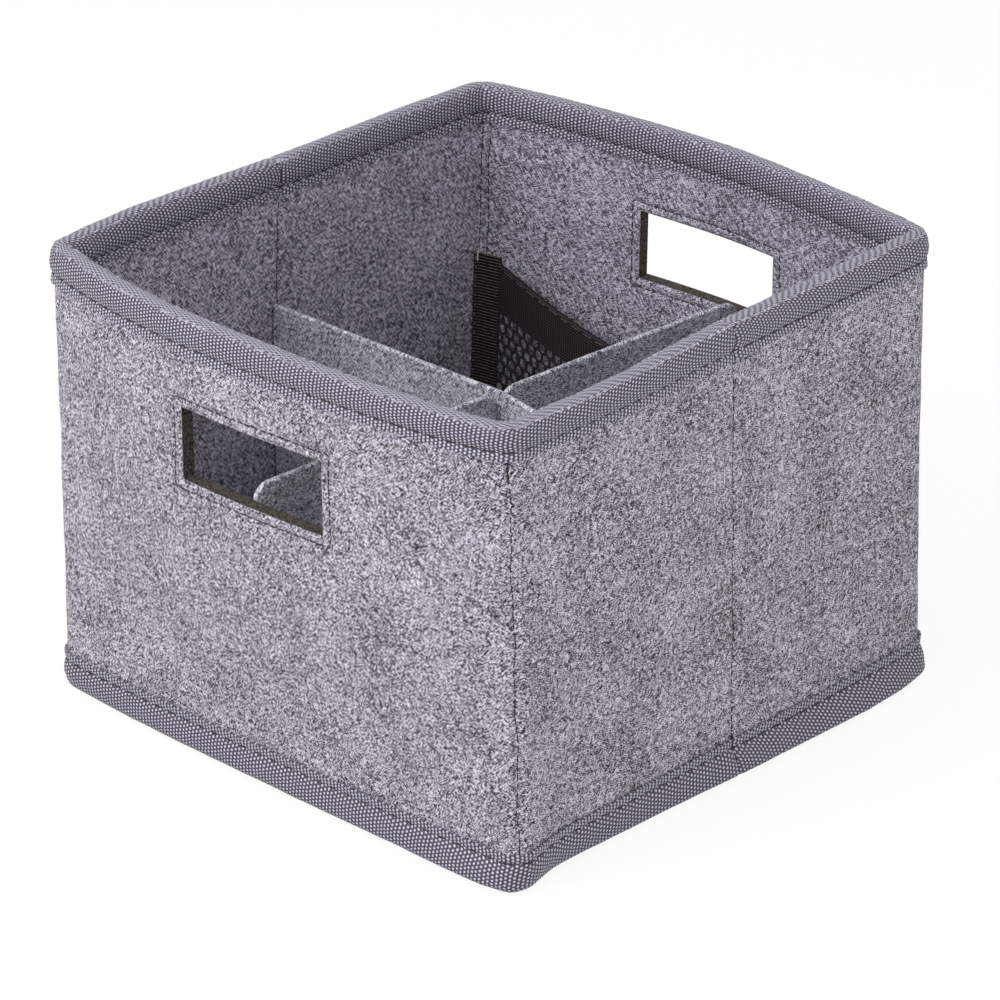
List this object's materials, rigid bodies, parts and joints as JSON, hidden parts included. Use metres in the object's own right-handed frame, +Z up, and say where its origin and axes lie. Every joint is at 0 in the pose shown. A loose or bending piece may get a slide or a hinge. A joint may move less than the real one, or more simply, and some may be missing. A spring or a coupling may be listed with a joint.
{
  "type": "folding box",
  "caption": "Square felt storage box with bound edges, hand holes, lift-out felt dividers and a net pocket; creased side walls let it fold flat.",
  "frame": {"origin": "on the ground at the middle of the box, under the base sheet", "axes": "+X along the handle walls to the right, +Y from the front handle wall to the rear one, +Z up"},
  "size_m": [0.3026, 0.3286, 0.23],
  "materials": {
    "wall_felt": "matte",
    "lining_felt": "matte",
    "divider_felt": "matte",
    "binding_tape": "matte",
    "core_board": "matte",
    "pocket_tape": "matte",
    "pocket_net": "matte"
  },
  "bodies": {
    "front_wall": {"front_wall_outer_felt": "wall_felt", "front_wall_core_board": "core_board", "front_wall_inner_felt": "lining_felt", "front_wall_rim_binding": "binding_tape", "front_wall_base_binding": "binding_tape", "front_left_corner_felt": "wall_felt", "front_right_corner_felt": "wall_felt", "base_sheet": "lining_felt"},
    "right_front_half": {"right_front_half_outer_felt": "wall_felt", "right_front_half_core_board": "core_board", "right_front_half_inner_felt": "lining_felt", "right_front_half_rim_binding": "binding_tape", "right_front_half_base_binding": "binding_tape"},
    "right_rear_half": {"right_rear_half_outer_felt": "wall_felt", "right_rear_half_core_board": "core_board", "right_rear_half_inner_felt": "lining_felt", "right_rear_half_rim_binding": "binding_tape", "right_rear_half_base_binding": "binding_tape"},
    "rear_wall": {"rear_wall_outer_felt": "wall_felt", "rear_wall_core_board": "core_board", "rear_wall_inner_felt": "lining_felt", "rear_wall_rim_binding": "binding_tape", "rear_wall_base_binding": "binding_tape", "rear_left_corner_felt": "wall_felt", "rear_right_corner_felt": "wall_felt", "pocket_net": "pocket_net", "pocket_elastic": "pocket_tape", "pocket_corner_tape": "pocket_tape", "pocket_end_tape": "pocket_tape"},
    "left_front_half": {"left_front_half_outer_felt": "wall_felt", "left_front_half_core_board": "core_board", "left_front_half_inner_felt": "lining_felt", "left_front_half_rim_binding": "binding_tape", "left_front_half_base_binding": "binding_tape"},
    "left_rear_half": {"left_rear_half_outer_felt": "wall_felt", "left_rear_half_core_board": "core_board", "left_rear_half_inner_felt": "lining_felt", "left_rear_half_rim_binding": "binding_tape", "left_rear_half_base_binding": "binding_tape"},
    "divider_set": {"long_divider": "divider_felt", "cross_divider": "divider_felt"}
  },
  "joints": [
    {"name": "right_front_corner_fold", "type": "hinge", "parent": "front_wall", "child": "right_front_half", "pos_m": [0.1402, -0.1382, 0], "axis": [0, 0, 1], "range_deg": [0, 90], "deforming": ["long_divider", "cross_divider", "pocket_net", "pocket_elastic", "pocket_corner_tape"]},
    {"name": "right_crease_fold", "type": "hinge", "parent": "right_front_half", "child": "right_rear_half", "pos_m": [0.1518, 0, 0], "axis": [0, 0, 1], "range_deg": [-180, 0]},
    {"name": "right_rear_corner_fold", "type": "hinge", "parent": "right_rear_half", "child": "rear_wall", "pos_m": [0.1402, 0.1382, 0], "axis": [0, 0, 1], "range_deg": [0, 90]},
    {"name": "left_rear_corner_fold", "type": "hinge", "parent": "rear_wall", "child": "left_rear_half", "pos_m": [-0.1402, 0.1382, 0], "axis": [0, 0, 1], "range_deg": [0, 90]},
    {"name": "left_front_corner_fold", "type": "hinge", "parent": "front_wall", "child": "left_front_half", "pos_m": [-0.1402, -0.1382, 0], "axis": [0, 0, 1], "range_deg": [-90, 0]},
    {"name": "divider_lift", "type": "slide", "parent": "front_wall", "child": "divider_set", "axis": [0, 0, 1], "range_m": [0, 0.24]}
  ],
  "couplings": [
    {"joint": "right_crease_fold", "follows": "right_front_corner_fold", "ratio": -2},
    {"joint": "right_rear_corner_fold", "follows": "right_front_corner_fold", "ratio": 1},
    {"joint": "left_rear_corner_fold", "follows": "right_front_corner_fold", "ratio": 1},
    {"joint": "left_front_corner_fold", "follows": "right_front_corner_fold", "ratio": -1}
  ]
}
